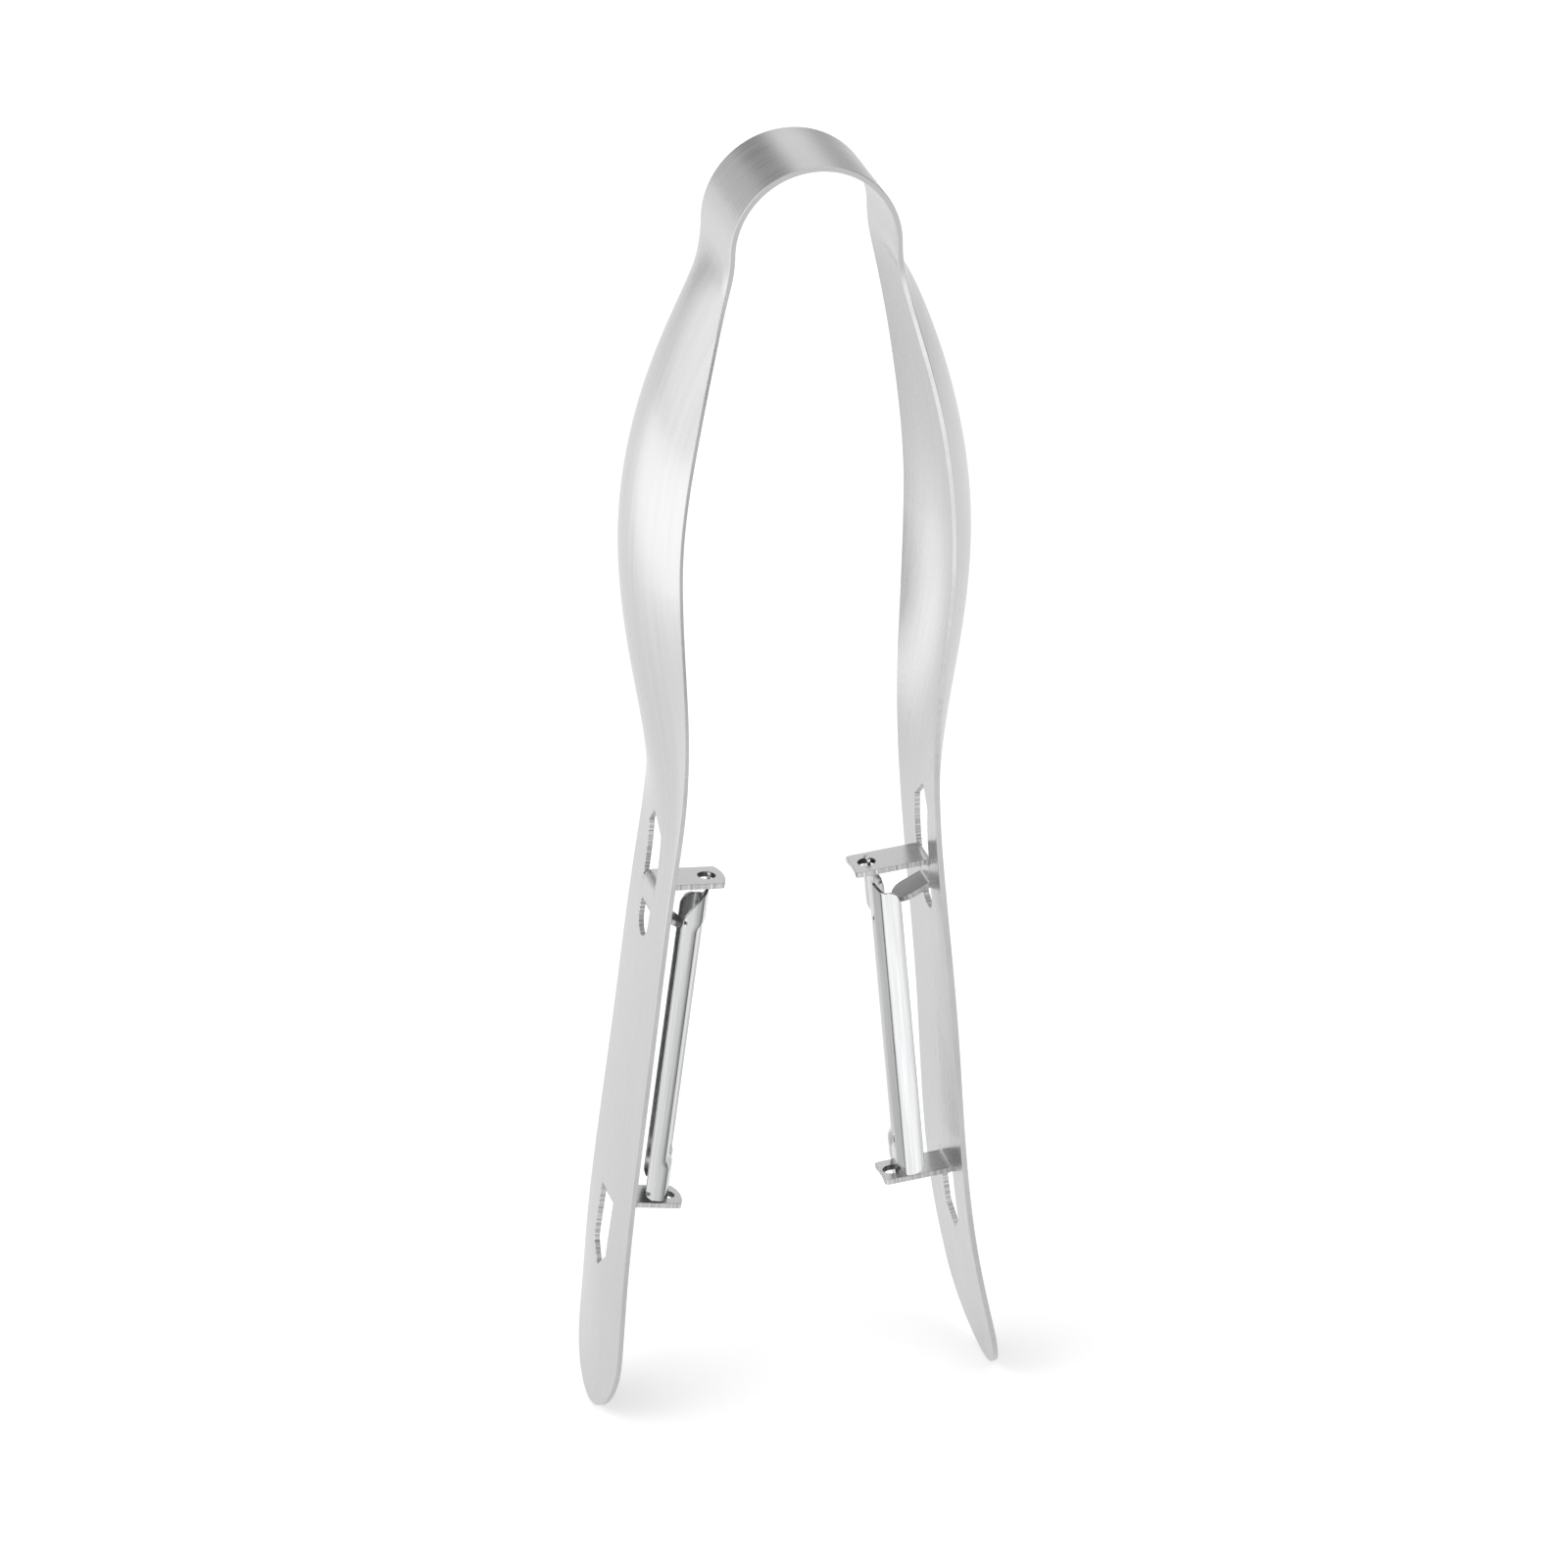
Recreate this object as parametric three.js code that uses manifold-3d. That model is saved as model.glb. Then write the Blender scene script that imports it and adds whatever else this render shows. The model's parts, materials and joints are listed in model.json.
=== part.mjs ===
// Spring tongs with two swivelling peeling blades, for peeling asparagus and similar stalks.
// One strip of stainless spring steel is bent into a bow with two arms. Each arm holds a channel
// blade between two lugs that are cut from the arm and bent inwards.
//
// Units are millimetres. +Z points up from the tips to the bow, +X from the left arm to the right
// arm, and Y runs across the strip. The origin is under the middle of the tips, at their level.

import * as THREE from 'three';
import { mergeVertices } from 'three/addons/utils/BufferGeometryUtils.js';
import Module from 'manifold-3d';

const wasm = await Module();
wasm.setup();

// ---------------------------------------------------------------- driving dimensions

const TOTAL_HEIGHT = 210; // tips to top of bow
const SHEET = 0.9; // thickness of the strip
const BOW_RADIUS = 13.6; // outer radius of the bow
const FLEX_SPLIT = 180; // height where the bow ends and the arms begin
const FLEX_GAP = 0.3; // gap between the bow and each arm

// Outer face of each arm at the strip's edges: [height, distance from the middle].
const BOW_SPRING_LINE = TOTAL_HEIGHT - BOW_RADIUS;
const RIGHT_SPREAD = [
  [0, 33.0], [11, 30.4], [25, 27.5], [63, 23.95], [92, 21.2], [106, 20.2], [120, 20.1],
  [134, 20.9], [148, 21.3], [162, 20.2], [176, 17.7], [188, 14.8], [BOW_SPRING_LINE, BOW_RADIUS],
];
const LEFT_SPREAD = [
  [0, 33.0], [11, 31.8], [25, 30.8], [63, 26.6], [92, 23.1], [106, 21.3], [120, 21.0],
  [134, 22.0], [148, 22.6], [162, 21.3], [176, 18.2], [188, 14.9], [BOW_SPRING_LINE, BOW_RADIUS],
];

// Width of the strip: [height, width].
const WIDTH = [
  [0, 24.4], [30, 24.0], [45, 23.2], [60, 22.6], [84, 22.0], [98, 21.6], [112, 23.0],
  [127, 25.8], [142, 29.0], [156, 29.2], [170, 27.2], [182, 21.4], [190, 18.0],
  [BOW_SPRING_LINE, 18.0],
];
const WIDEST = 29.2; // the handles' edges run straight where they reach this width

// Depth of the strip's hollow: [height, depth]. The handles are alike, the tips are not.
const HANDLE_HOLLOW = [
  [60, 0.4], [84, 0.4], [98, 0.6], [112, 2.8], [127, 4.9], [142, 5.6], [156, 5.5],
  [170, 4.7], [182, 3.5], [190, 1.8], [BOW_SPRING_LINE, 0],
];
const HOLLOW = {
  '-1': [[0, 0.4], [11, 0.9], [24, 1.1], [36, 0.6], ...HANDLE_HOLLOW],
  1: [[0, 0.2], [36, 0.3], ...HANDLE_HOLLOW],
};
const ACROSS = 8; // facets across the strip
const TIP_STEPS = 6; // rings in the rounded tip

// Blade seats. Distances along an arm are counted from the middle of its blade.
// The two arms' lugs are bent and cut a little differently, and the blades lie loose in them:
// middle  height of the blade's middle
// reach   pivot axis from the arm's inner face
// upper, lower  length of each lug from the same face
// bulge   curve of the lugs' ends
// tilt    lift of the upper lug, in degrees
// droop   fall of the stop tab, in degrees
// swivel  turn of the blade at rest, in degrees
// crown   blade's crown past the pivot axis, at the blade's middle
// lean    blade's lean away from the arm at the top, in degrees
const SEATS = {
  '-1': {
    middle: 63.4, reach: 8.4, upper: 11.1, lower: 10.8, bulge: 0.8, tilt: 4.5, droop: 26,
    swivel: -12, crown: 0.5, lean: 0.35,
  },
  1: {
    middle: 63.2, reach: 9.3, upper: 11.8, lower: 11.2, bulge: -0.2, tilt: 0, droop: 20,
    swivel: 4, crown: -0.05, lean: 0.5,
  },
};
const UPPER_LUG_TOP = 27.5;
const LOWER_LUG_TOP = -27.1;
const LUG_WIDTH = 7.0;
const LUG_ROOT = 0.6; // how far a lug reaches into the sheet
const PIVOT_HOLE = 2.75;
const UPPER_SLOT_LENGTH = 10.4;
const LOWER_SLOT_LENGTH = 11.5;
const SLOT_WIDTH = 7.0;
const SLOT_POINT = 3.0; // length of the slot's pointed end
const STOP_WIDTH = 5.6;
const STOP_LENGTH = 5.3;
const STOP_TOP = 23.4;

// Blades: channels of thin sheet with a slit in the web.
const BLADE_SHEET = 0.6;
const BLADE_WIDTH = 9.0;
const BLADE_CAMBER = 0.9; // height of the web's crown over its corners
const BLADE_DEPTH = 3.8; // crown to the free edges of the flanges
const BLADE_CORNER = 0.9; // size of the channel's rounded corners
const BLADE_TOP = UPPER_LUG_TOP - SHEET - 0.5;
const BLADE_BOTTOM = LOWER_LUG_TOP + 0.5;
const FLANGE_CUT = 4.5; // slope at the top of each flange
const SLIT_TOP = 17.6;
const SLIT_BOTTOM = -22.6;
const SLIT_WIDTH = 1.7;
const SLIT_SLANT = 1.9;
const TANG_WIDTH = 1.6;
const UPPER_TANG_REACH = 1.9; // above the blade's top
const LOWER_TANG_REACH = 3.0; // below the blade's bottom

const steel = { color: 0xc9cacc, roughness: 0.34, metalness: 1.0 };
const polished = { color: 0xd6d8da, roughness: 0.16, metalness: 1.0 };

// ---------------------------------------------------------------- solids

function toManifold(geometry) {
  const bare = geometry.clone();
  bare.deleteAttribute('normal');
  bare.deleteAttribute('uv');
  const merged = mergeVertices(bare, 1e-5);
  return new wasm.Manifold(new wasm.Mesh({
    numProp: 3,
    vertProperties: new Float32Array(merged.attributes.position.array),
    triVerts: new Uint32Array(merged.index.array),
  }));
}

function toGeometry(solid) {
  const mesh = solid.getMesh();
  const geometry = new THREE.BufferGeometry();
  geometry.setAttribute('position', new THREE.BufferAttribute(new Float32Array(mesh.vertProperties), 3));
  geometry.setIndex(new THREE.BufferAttribute(new Uint32Array(mesh.triVerts), 1));
  geometry.computeVertexNormals();
  return geometry;
}

function makeMesh(name, solid, finish) {
  const mesh = new THREE.Mesh(toGeometry(solid), new THREE.MeshStandardMaterial(finish));
  mesh.name = name;
  return mesh;
}

// Closed loft through rings of points that all run round the section the same way.
function loft(rings) {
  const count = rings[0].length;
  const positions = rings.flat().flatMap((p) => [p.x, p.y, p.z]);
  const index = [];
  for (let i = 0; i + 1 < rings.length; i += 1) {
    for (let j = 0; j < count; j += 1) {
      const a = i * count + j;
      const b = i * count + ((j + 1) % count);
      index.push(a, b + count, b, a, a + count, b + count);
    }
  }
  // The end caps pair each outer point with the inner point behind it.
  const last = (rings.length - 1) * count;
  for (let j = 0; j + 1 < count / 2; j += 1) {
    const k = count - 1 - j;
    index.push(j, j + 1, k, j + 1, k - 1, k);
    index.push(last + j, last + k, last + j + 1, last + j + 1, last + k, last + k - 1);
  }
  const geometry = new THREE.BufferGeometry();
  geometry.setAttribute('position', new THREE.Float32BufferAttribute(positions, 3));
  geometry.setIndex(index);
  return geometry;
}

// ---------------------------------------------------------------- the strip

// A smooth curve through rows of [height, value], read by height.
function byHeight(rows) {
  const heights = rows.map((row) => row[0]);
  const values = rows.map((row) => row[1]);
  const curve = new THREE.CubicInterpolant(heights, values, 1);
  return (z) => curve.evaluate(THREE.MathUtils.clamp(z, heights[0], heights.at(-1)))[0];
}

const rawWidthAt = byHeight(WIDTH);
const widthAt = (z) => Math.min(rawWidthAt(z), WIDEST);
const hollowAt = { 1: byHeight(HOLLOW[1]), '-1': byHeight(HOLLOW[-1]) };
const spreadAt = { 1: byHeight(RIGHT_SPREAD), '-1': byHeight(LEFT_SPREAD) };

// Ring round the strip: outer face from back to front, then inner face from front to back.
function stripRing(side, edge, normal, width, hollow) {
  const outer = [];
  const inner = [];
  for (let j = 0; j <= ACROSS; j += 1) {
    const y = (0.5 - j / ACROSS) * width;
    const crown = hollow * (1 - (2 * y / width) ** 2);
    const slope = (8 * hollow * y) / width ** 2;
    const depth = SHEET * Math.hypot(1, slope);
    outer.push(new THREE.Vector3(side * (edge.x + normal.x * crown), y, edge.y + normal.y * crown));
    const inset = crown - depth;
    inner.push(new THREE.Vector3(side * (edge.x + normal.x * inset), y, edge.y + normal.y * inset));
  }
  const ring = [...outer, ...inner.reverse()];
  return side > 0 ? ring : ring.reverse();
}

function armRing(side, z, width = widthAt(z)) {
  const step = 0.05;
  const slope = (spreadAt[side](z + step) - spreadAt[side](z - step)) / (2 * step);
  const normal = new THREE.Vector2(1, -slope).normalize();
  const edge = new THREE.Vector2(spreadAt[side](z), z);
  return stripRing(side, edge, normal, width, hollowAt[side](z));
}

function armStrip(side) {
  const rings = [];
  const tipRadius = widthAt(0) / 2;
  for (let i = 1; i <= TIP_STEPS; i += 1) {
    const angle = (i / TIP_STEPS) * (Math.PI / 2);
    rings.push(armRing(side, tipRadius * (1 - Math.cos(angle)), 2 * tipRadius * Math.sin(angle)));
  }
  const top = FLEX_SPLIT - FLEX_GAP;
  const steps = 34;
  for (let i = 1; i <= steps; i += 1) {
    rings.push(armRing(side, tipRadius + ((top - tipRadius) * i) / steps));
  }
  return toManifold(loft(rings));
}

function bowStrip() {
  const legSteps = 4;
  const arcSteps = 20;
  const rings = [];
  const leg = (side) => {
    const list = [];
    for (let i = 0; i < legSteps; i += 1) {
      list.push(armRing(side, FLEX_SPLIT + ((BOW_SPRING_LINE - FLEX_SPLIT) * i) / legSteps));
    }
    return list;
  };
  rings.push(...leg(1));
  for (let i = 0; i <= arcSteps; i += 1) {
    const angle = (i / arcSteps) * Math.PI;
    const normal = new THREE.Vector2(Math.cos(angle), Math.sin(angle));
    const edge = normal.clone().multiplyScalar(BOW_RADIUS).add(new THREE.Vector2(0, BOW_SPRING_LINE));
    rings.push(stripRing(1, edge, normal, widthAt(BOW_SPRING_LINE), 0));
  }
  rings.push(...leg(-1).reverse().map((ring) => ring.reverse()));
  return toManifold(loft(rings));
}

// ---------------------------------------------------------------- blade seats

// Seat frame of an arm: x inwards from the inner face, y across, z up along the arm.
function seatMatrix(side) {
  const seatHeight = SEATS[side].middle;
  const low = spreadAt[side](seatHeight + LOWER_LUG_TOP);
  const high = spreadAt[side](seatHeight + UPPER_LUG_TOP);
  const up = new THREE.Vector3(side * (high - low), 0, UPPER_LUG_TOP - LOWER_LUG_TOP).normalize();
  const inwards = new THREE.Vector3(-side * up.z, 0, side * up.x);
  const middle = low + ((high - low) * -LOWER_LUG_TOP) / (UPPER_LUG_TOP - LOWER_LUG_TOP);
  const origin = new THREE.Vector3(side * middle, 0, seatHeight)
    .addScaledVector(inwards, SHEET - hollowAt[side](seatHeight));
  const across = new THREE.Vector3().crossVectors(up, inwards);
  return new THREE.Matrix4().makeBasis(inwards, across, up).setPosition(origin);
}

function extrude(shape, depth) {
  return new THREE.ExtrudeGeometry(shape, { depth, bevelEnabled: false, curveSegments: 6 });
}

// Flat plate drawn in the seat's x-y plane, with its top face at height z at the arm, and
// turned down there by an angle in degrees.
function plate(shape, z, droop) {
  return extrude(shape, SHEET)
    .translate(0, 0, -SHEET)
    .rotateY(THREE.MathUtils.degToRad(droop))
    .translate(0, 0, z);
}

// Cutter drawn as (across, along the arm), passed right through the sheet.
function wallCutter(shape) {
  const geometry = extrude(shape, 6 * SHEET);
  geometry.applyMatrix4(new THREE.Matrix4().makeBasis(
    new THREE.Vector3(0, 1, 0),
    new THREE.Vector3(0, 0, 1),
    new THREE.Vector3(1, 0, 0),
  ));
  return geometry.translate(-4 * SHEET, 0, 0);
}

function pivotLugShape({ reach, bulge }, length) {
  const half = LUG_WIDTH / 2;
  const corner = length - Math.max(bulge, 0);
  const shape = new THREE.Shape();
  shape.moveTo(-LUG_ROOT, -half);
  shape.lineTo(corner, -half);
  shape.quadraticCurveTo(corner + 2 * bulge, 0, corner, half);
  shape.lineTo(-LUG_ROOT, half);
  shape.closePath();
  const hole = new THREE.Path();
  hole.absarc(reach, 0, PIVOT_HOLE / 2, 0, 2 * Math.PI, true);
  shape.holes.push(hole);
  return shape;
}

// Slot left by a lug: square where the lug is bent, pointed at the other end.
function slotShape(root, length) {
  const half = SLOT_WIDTH / 2;
  const shoulder = root + Math.sign(length) * (Math.abs(length) - SLOT_POINT);
  const shape = new THREE.Shape();
  shape.moveTo(-half, root);
  shape.lineTo(half, root);
  shape.lineTo(half, shoulder);
  shape.lineTo(0, root + length);
  shape.lineTo(-half, shoulder);
  shape.closePath();
  return shape;
}

function roundTabShape(width, length, root) {
  const half = width / 2;
  const shape = new THREE.Shape();
  shape.moveTo(root, -half);
  shape.lineTo(length - half, -half);
  shape.absarc(length - half, 0, half, -Math.PI / 2, Math.PI / 2, false);
  shape.lineTo(root, half);
  shape.closePath();
  return shape;
}

function stopHoleShape() {
  const half = STOP_WIDTH / 2;
  const shape = new THREE.Shape();
  shape.moveTo(-half, STOP_TOP - SHEET);
  shape.lineTo(-half, STOP_TOP - STOP_LENGTH + half);
  shape.absarc(0, STOP_TOP - STOP_LENGTH + half, half, Math.PI, 2 * Math.PI, false);
  shape.lineTo(half, STOP_TOP - SHEET);
  shape.closePath();
  return shape;
}

function arm(side) {
  const seat = seatMatrix(side);
  const place = (geometry) => toManifold(geometry.applyMatrix4(seat));
  const { tilt, droop, upper, lower } = SEATS[side];
  const upperLug = pivotLugShape(SEATS[side], upper);
  const lowerLug = pivotLugShape(SEATS[side], lower);
  const stopTab = roundTabShape(STOP_WIDTH, STOP_LENGTH, -LUG_ROOT);
  const upperSlot = slotShape(UPPER_LUG_TOP, UPPER_SLOT_LENGTH);
  const lowerSlot = slotShape(LOWER_LUG_TOP - SHEET, -LOWER_SLOT_LENGTH);
  return armStrip(side)
    .subtract(place(wallCutter(upperSlot)))
    .subtract(place(wallCutter(lowerSlot)))
    .subtract(place(wallCutter(stopHoleShape())))
    .add(place(plate(upperLug, UPPER_LUG_TOP, -tilt)))
    .add(place(plate(lowerLug, LOWER_LUG_TOP, 0)))
    .add(place(plate(stopTab, STOP_TOP, droop)));
}

// ---------------------------------------------------------------- blades

// Channel section: x towards the other arm with the crown at zero, y across.
function channelShape() {
  const half = BLADE_WIDTH / 2;
  const back = half - BLADE_SHEET;
  const brim = -BLADE_CAMBER;
  const shoulder = 0.62 * brim; // where the cambered web meets its rounded corners
  const freeEdge = -BLADE_DEPTH;
  const shape = new THREE.Shape();
  shape.moveTo(freeEdge, half);
  shape.lineTo(brim - BLADE_CORNER, half);
  shape.quadraticCurveTo(brim - 0.1, half - 0.05, shoulder, half - BLADE_CORNER);
  shape.quadraticCurveTo(0.15, 0, shoulder, BLADE_CORNER - half);
  shape.quadraticCurveTo(brim - 0.1, 0.05 - half, brim - BLADE_CORNER, -half);
  shape.lineTo(freeEdge, -half);
  shape.lineTo(freeEdge, -back);
  shape.lineTo(brim - BLADE_CORNER - 0.1, -back);
  shape.quadraticCurveTo(brim - BLADE_SHEET, -back, shoulder - BLADE_SHEET, BLADE_CORNER - back);
  shape.quadraticCurveTo(0.15 - BLADE_SHEET, 0, shoulder - BLADE_SHEET, back - BLADE_CORNER);
  shape.quadraticCurveTo(brim - BLADE_SHEET, back, brim - BLADE_CORNER - 0.1, back);
  shape.lineTo(freeEdge, back);
  shape.closePath();
  return shape;
}

// Cutter for a slit with slanted ends, drawn as (across, along).
function slitShape() {
  const shape = new THREE.Shape();
  shape.moveTo(0, SLIT_TOP - SLIT_SLANT);
  shape.lineTo(SLIT_WIDTH, SLIT_TOP);
  shape.lineTo(SLIT_WIDTH, SLIT_BOTTOM);
  shape.lineTo(0, SLIT_BOTTOM + SLIT_SLANT);
  shape.closePath();
  return shape;
}

// Wedges that slope the flanges' tops away from the lug, drawn as (x, along).
function flangeCutter() {
  const shape = new THREE.Shape();
  shape.moveTo(-BLADE_DEPTH - 1, BLADE_TOP - FLANGE_CUT);
  shape.lineTo(-BLADE_DEPTH, BLADE_TOP - FLANGE_CUT);
  shape.quadraticCurveTo(-BLADE_DEPTH + 0.7, BLADE_TOP - 1.6, -BLADE_CAMBER - 0.9, BLADE_TOP - 1.2);
  shape.lineTo(-BLADE_CAMBER - 0.2, BLADE_TOP + 1);
  shape.lineTo(-BLADE_DEPTH - 1, BLADE_TOP + 1);
  shape.closePath();
  const geometry = extrude(shape, 2 * BLADE_WIDTH);
  geometry.applyMatrix4(new THREE.Matrix4().makeBasis(
    new THREE.Vector3(1, 0, 0),
    new THREE.Vector3(0, 0, 1),
    new THREE.Vector3(0, -1, 0),
  ));
  return geometry.translate(0, BLADE_WIDTH, 0);
}

function blade(side) {
  const { reach, swivel, crown, lean } = SEATS[side];
  const body = extrude(channelShape(), BLADE_TOP - BLADE_BOTTOM).translate(0, 0, BLADE_BOTTOM);
  const tang = (bottom, top) => new THREE.BoxGeometry(BLADE_SHEET, TANG_WIDTH, top - bottom)
    .translate(-BLADE_SHEET / 2, 0, (bottom + top) / 2);
  const solid = toManifold(body)
    .subtract(toManifold(wallCutter(slitShape())))
    .subtract(toManifold(flangeCutter()))
    .add(toManifold(tang(BLADE_TOP - 2, BLADE_TOP + UPPER_TANG_REACH)))
    .add(toManifold(tang(BLADE_BOTTOM - LOWER_TANG_REACH, BLADE_BOTTOM + 2)));
  const placement = seatMatrix(side)
    .multiply(new THREE.Matrix4().makeTranslation(reach, 0, 0))
    .multiply(new THREE.Matrix4().makeRotationZ(THREE.MathUtils.degToRad(swivel)))
    .multiply(new THREE.Matrix4().makeRotationY(THREE.MathUtils.degToRad(lean)))
    .multiply(new THREE.Matrix4().makeTranslation(crown, 0, 0));
  return toManifold(toGeometry(solid).applyMatrix4(placement));
}

// ---------------------------------------------------------------- assembly

const tongs = new THREE.Group();
tongs.add(makeMesh('spring_bow', bowStrip(), steel));
tongs.add(makeMesh('left_arm', arm(-1), steel));
tongs.add(makeMesh('right_arm', arm(1), steel));
tongs.add(makeMesh('left_blade', blade(-1), polished));
tongs.add(makeMesh('right_blade', blade(1), polished));

// The tips stand at height zero, and the origin is under the middle of the whole.
const bounds = new THREE.Box3().setFromObject(tongs);
const centre = bounds.getCenter(new THREE.Vector3());
tongs.position.set(-centre.x, -centre.y, -bounds.min.z);

export default tongs;
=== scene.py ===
import json
import math

import bpy
import numpy as np
from mathutils import Matrix, Vector
from mathutils.geometry import delaunay_2d_cdt


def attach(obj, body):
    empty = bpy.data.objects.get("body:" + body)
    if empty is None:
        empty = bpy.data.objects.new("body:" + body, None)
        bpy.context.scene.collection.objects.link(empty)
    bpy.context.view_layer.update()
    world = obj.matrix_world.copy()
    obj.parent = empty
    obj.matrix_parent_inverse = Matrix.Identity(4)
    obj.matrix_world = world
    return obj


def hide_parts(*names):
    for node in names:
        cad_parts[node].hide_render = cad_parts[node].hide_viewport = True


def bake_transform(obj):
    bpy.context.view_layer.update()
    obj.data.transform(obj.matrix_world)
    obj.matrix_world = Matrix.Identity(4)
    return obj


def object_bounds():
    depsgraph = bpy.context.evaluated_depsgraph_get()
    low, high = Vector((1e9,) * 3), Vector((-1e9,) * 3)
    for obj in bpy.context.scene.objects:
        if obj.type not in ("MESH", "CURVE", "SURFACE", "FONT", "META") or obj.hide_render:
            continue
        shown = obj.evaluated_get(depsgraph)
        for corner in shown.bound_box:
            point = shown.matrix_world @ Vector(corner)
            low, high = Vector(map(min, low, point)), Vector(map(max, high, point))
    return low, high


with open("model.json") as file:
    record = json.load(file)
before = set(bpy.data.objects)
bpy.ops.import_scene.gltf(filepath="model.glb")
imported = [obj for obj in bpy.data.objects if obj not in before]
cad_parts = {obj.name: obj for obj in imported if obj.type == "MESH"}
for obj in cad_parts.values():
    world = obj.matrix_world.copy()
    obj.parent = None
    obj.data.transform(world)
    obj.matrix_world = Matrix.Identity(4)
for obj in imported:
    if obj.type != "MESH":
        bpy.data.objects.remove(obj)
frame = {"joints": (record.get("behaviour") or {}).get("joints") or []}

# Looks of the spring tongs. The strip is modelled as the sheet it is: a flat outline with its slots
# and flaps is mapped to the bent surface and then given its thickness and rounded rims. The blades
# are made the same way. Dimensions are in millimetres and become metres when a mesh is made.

cad_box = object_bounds()
MM = 0.001

# ---------------------------------------------------------------- dimensions

TOTAL_HEIGHT = 210.0
SHEET = 0.9
BOW_RADIUS = 13.6
SPRING_LINE = TOTAL_HEIGHT - BOW_RADIUS
CROWN = SPRING_LINE + BOW_RADIUS * math.pi / 2  # station of the bow's highest point

RIGHT, LEFT = 1, -1

# Outer face of each arm at the strip's edges: [height, distance from the middle].
SPREAD = {
    RIGHT: [
        [0, 33.0], [11, 30.4], [25, 27.5], [63, 23.95], [92, 21.2], [106, 20.2], [120, 20.1],
        [134, 20.9], [148, 21.3], [162, 20.2], [176, 17.7], [188, 14.8], [SPRING_LINE, BOW_RADIUS],
    ],
    LEFT: [
        [0, 33.0], [11, 31.8], [25, 30.8], [63, 26.6], [92, 23.1], [106, 21.3], [120, 21.0],
        [134, 22.0], [148, 22.6], [162, 21.3], [176, 18.2], [188, 14.9], [SPRING_LINE, BOW_RADIUS],
    ],
}
WIDTH = [
    [0, 24.4], [30, 24.0], [45, 23.2], [60, 22.6], [84, 22.0], [98, 21.6], [112, 23.0],
    [127, 25.8], [142, 29.0], [156, 29.2], [170, 27.2], [182, 21.4], [190, 18.0],
    [SPRING_LINE, 18.0],
]
WIDEST = 29.2
HANDLE_HOLLOW = [
    [60, 0.4], [84, 0.4], [98, 0.6], [112, 2.8], [127, 4.9], [142, 5.6], [156, 5.5],
    [170, 4.7], [182, 3.5], [190, 1.8], [SPRING_LINE, 0],
]
HOLLOW = {
    LEFT: [[0, 0.4], [11, 0.9], [24, 1.1], [36, 0.6], *HANDLE_HOLLOW],
    RIGHT: [[0, 0.2], [36, 0.3], *HANDLE_HOLLOW],
}

# Blade seats. middle is the height of the blade's middle. reach, upper and lower say how far in from the
# outer face the blade's axis and the ends of the two lugs lie, and bulge is the rounding of those ends.
# tilt and droop are what the upper lug and the stop tab lack to a square bend, in degrees. swivel and
# lean turn the blade about its axis and over it, in degrees, and crown moves it off its axis.
SEATS = {
    LEFT: dict(middle=63.4, reach=8.4, upper=11.1, lower=10.8, bulge=0.8, tilt=4.5, droop=26,
               swivel=-12, crown=0.5, lean=0.35),
    RIGHT: dict(middle=63.2, reach=9.3, upper=11.8, lower=11.2, bulge=-0.2, tilt=0, droop=20,
                swivel=4, crown=-0.05, lean=0.5),
}

# Lugs and stop tabs. The tops are distances along an arm from the middle of its blade.
UPPER_LUG_TOP = 27.5
LOWER_LUG_TOP = -27.1
LUG_HALF = 3.3
LUG_REACH = (4, 14)  # the blade's axis goes through a lug between these lengths along it
PIVOT_HOLE = 2.75
UPPER_SLOT_LENGTH = 11.4
LOWER_SLOT_LENGTH = 11.5
SLOT_HALF = 3.7
SLOT_POINT = 3.0  # length of a slot's pointed end
RELIEF = 0.35  # depth of the nicks beside a flap's root
STOP_HALF = 2.5
STOP_HOLE_HALF = 2.85
STOP_LENGTH = 5.3
STOP_HOLE_LENGTH = 5.7
STOP_TOP = 23.4
BEND = 1.4  # outer radius of every bend
CUT_HEIGHTS = (20, 105)  # all slots and stop tabs lie between these heights
CUT_HALF = SLOT_HALF + 0.3  # and this close to the middle of the strip

BLADE_SHEET = 0.6
BLADE_WEB = 3.8  # length of half the web, from its crown to its corner
BLADE_WEB_TURN = math.radians(20)
BLADE_CORNER = 1.15  # corner radius
BLADE_FLANGE = 2.06
BLADE_HALF = BLADE_WEB + BLADE_CORNER * (math.pi / 2 - BLADE_WEB_TURN) + BLADE_FLANGE
BLADE_GAP = 0.5  # play between a blade's end and its lug
BLADE_TOP = UPPER_LUG_TOP - SHEET - BLADE_GAP
BLADE_BOTTOM = LOWER_LUG_TOP + BLADE_GAP
TANG_TOP = 1.9  # length of the tangs beyond the blade's ends
TANG_BOTTOM = 2.6
SLIT = {LEFT: (-20.9, 20.9), RIGHT: (-22.6, 18.9)}  # lower and upper end of the slit
SLIT_EDGES = (0.1, 1.7)  # across the blade
SLIT_SLANT = 1.9
SINK = 0.65  # how far one half of the web lies below the other along the slit

# Meshing: spacing of the points inside the strip, its flaps and the blades, and along the outlines.
GRID = 1.0
FLAP_GRID = 0.7
BLADE_GRID = 0.6
EDGE_STEP = 0.7
RIM = 0.12  # radius of the rounded rims
TIP_CUT = 0.62  # keeps the tip's inner rim off the floor
TINY = 1e-9

FACE, TORN, EDGE, BORE = range(4)  # material slots of the strip

# ---------------------------------------------------------------- the shared frame

pivots = {joint["name"]: joint for joint in frame["joints"]}
flex = [joint for joint in frame["joints"] if joint["name"].endswith("arm_flex")]
FRAME_SHIFT = Vector((
    sum(joint["pos_m"][0] for joint in flex) / 2,
    0,
    cad_box[1].z - TOTAL_HEIGHT * MM,
))

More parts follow.
